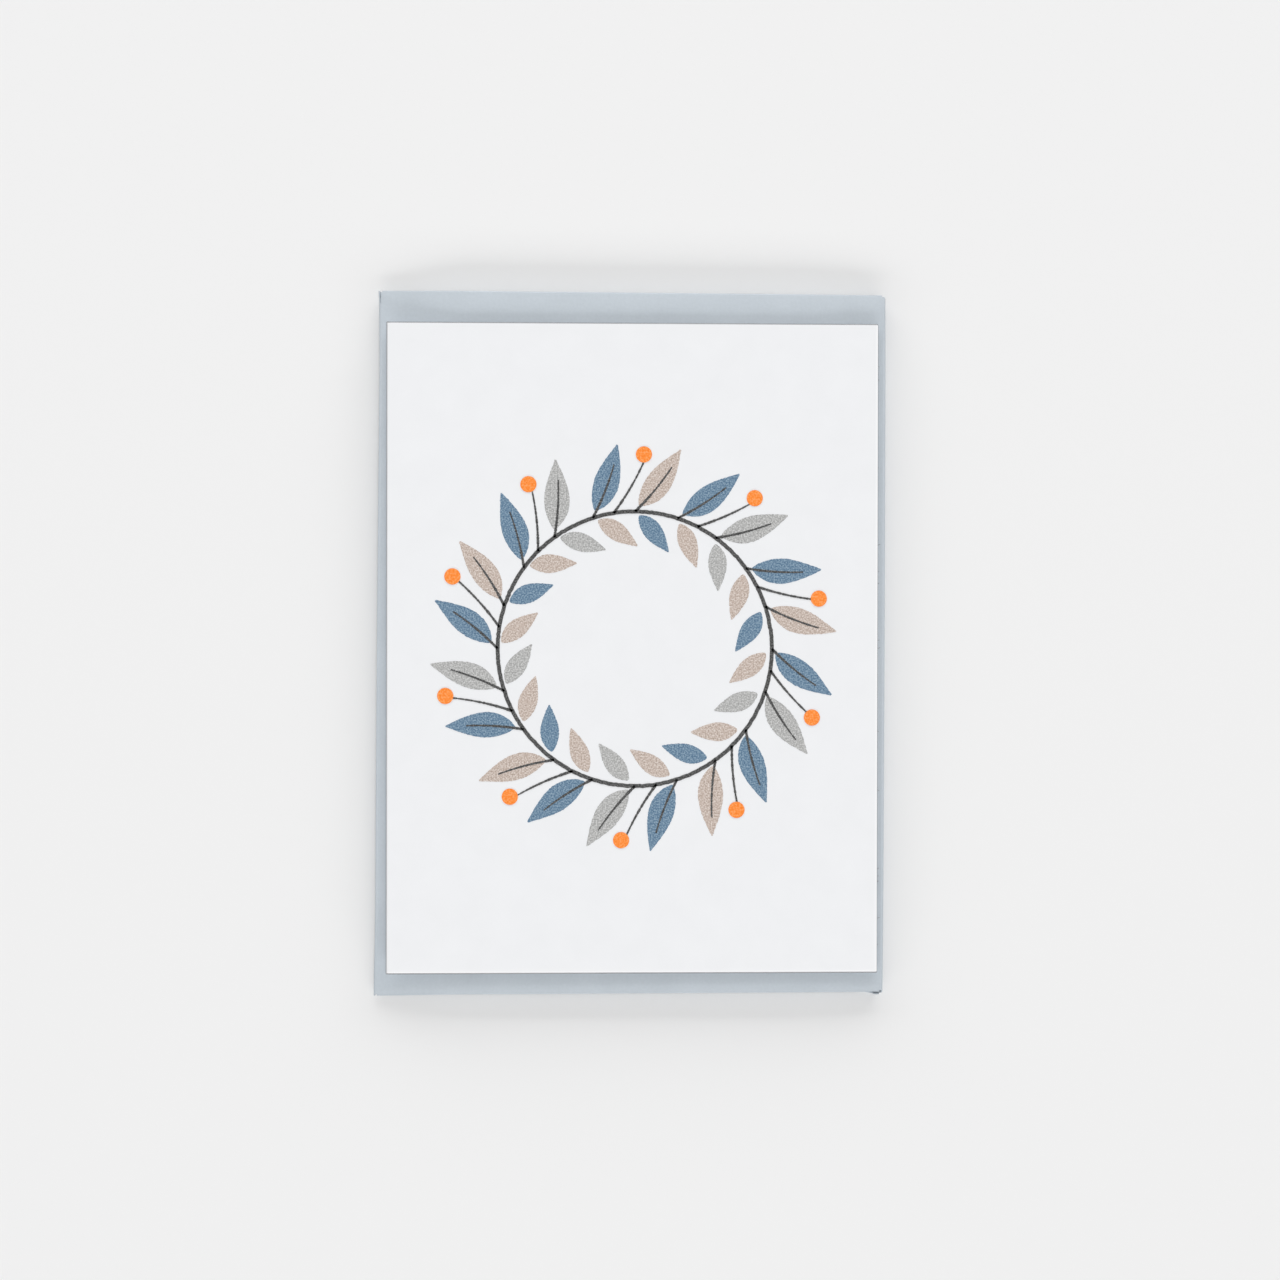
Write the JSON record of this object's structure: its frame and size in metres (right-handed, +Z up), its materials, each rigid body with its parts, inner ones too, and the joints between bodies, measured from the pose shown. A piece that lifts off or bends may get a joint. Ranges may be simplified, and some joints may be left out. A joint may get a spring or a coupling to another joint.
{
  "type": "folded card with envelope",
  "caption": "Small folded greeting card of white card stock lying on its paper envelope; the card lifts off and opens on its crease, and the envelope's closure flap opens.",
  "frame": {"origin": "on the surface that the envelope lies on, under the middle of the envelope", "axes": "+X across the card from its fold to its opening edge, +Y up the card, +Z up out of the card's front"},
  "size_m": [0.0816, 0.1128, 0.0039],
  "materials": {
    "card_stock": "uncoated, matt, fine tooth",
    "envelope_paper": "uncoated, matt, pale blue-grey",
    "seam_glue": "dried glue film",
    "dry_gum": "dry gum, slightly glossy"
  },
  "bodies": {
    "envelope": {"envelope_face": "envelope_paper", "envelope_back_flap": "envelope_paper", "envelope_back_crease": "envelope_paper", "envelope_side_flap_top": "envelope_paper", "envelope_side_flap_bottom": "envelope_paper", "envelope_side_crease_top": "envelope_paper", "envelope_side_crease_bottom": "envelope_paper", "seam_glue_top": "seam_glue", "seam_glue_bottom": "seam_glue", "closure_flap_crease": "envelope_paper"},
    "closure_flap": {"closure_flap": "envelope_paper", "gum_strip": "dry_gum"},
    "card_back": {"card_back_panel": "card_stock", "card_crease": "card_stock"},
    "card_front": {"card_front_panel": "card_stock"}
  },
  "joints": [
    {"name": "flap_open", "type": "hinge", "parent": "envelope", "child": "closure_flap", "pos_m": [0.04015, 0, 0.0015], "axis": [0, -1, 0], "range_deg": [0, 178], "deforming": ["closure_flap_crease"]},
    {"name": "card_lift", "type": "slide", "parent": "envelope", "child": "card_back", "axis": [0, 0, 1], "range_m": [0, 0.1]},
    {"name": "card_open", "type": "hinge", "parent": "card_back", "child": "card_front", "pos_m": [-0.03899, -0.00101, 0.0035], "axis": [0.0047, -1, 0], "range_deg": [0, 178.7], "deforming": ["card_crease"]}
  ]
}
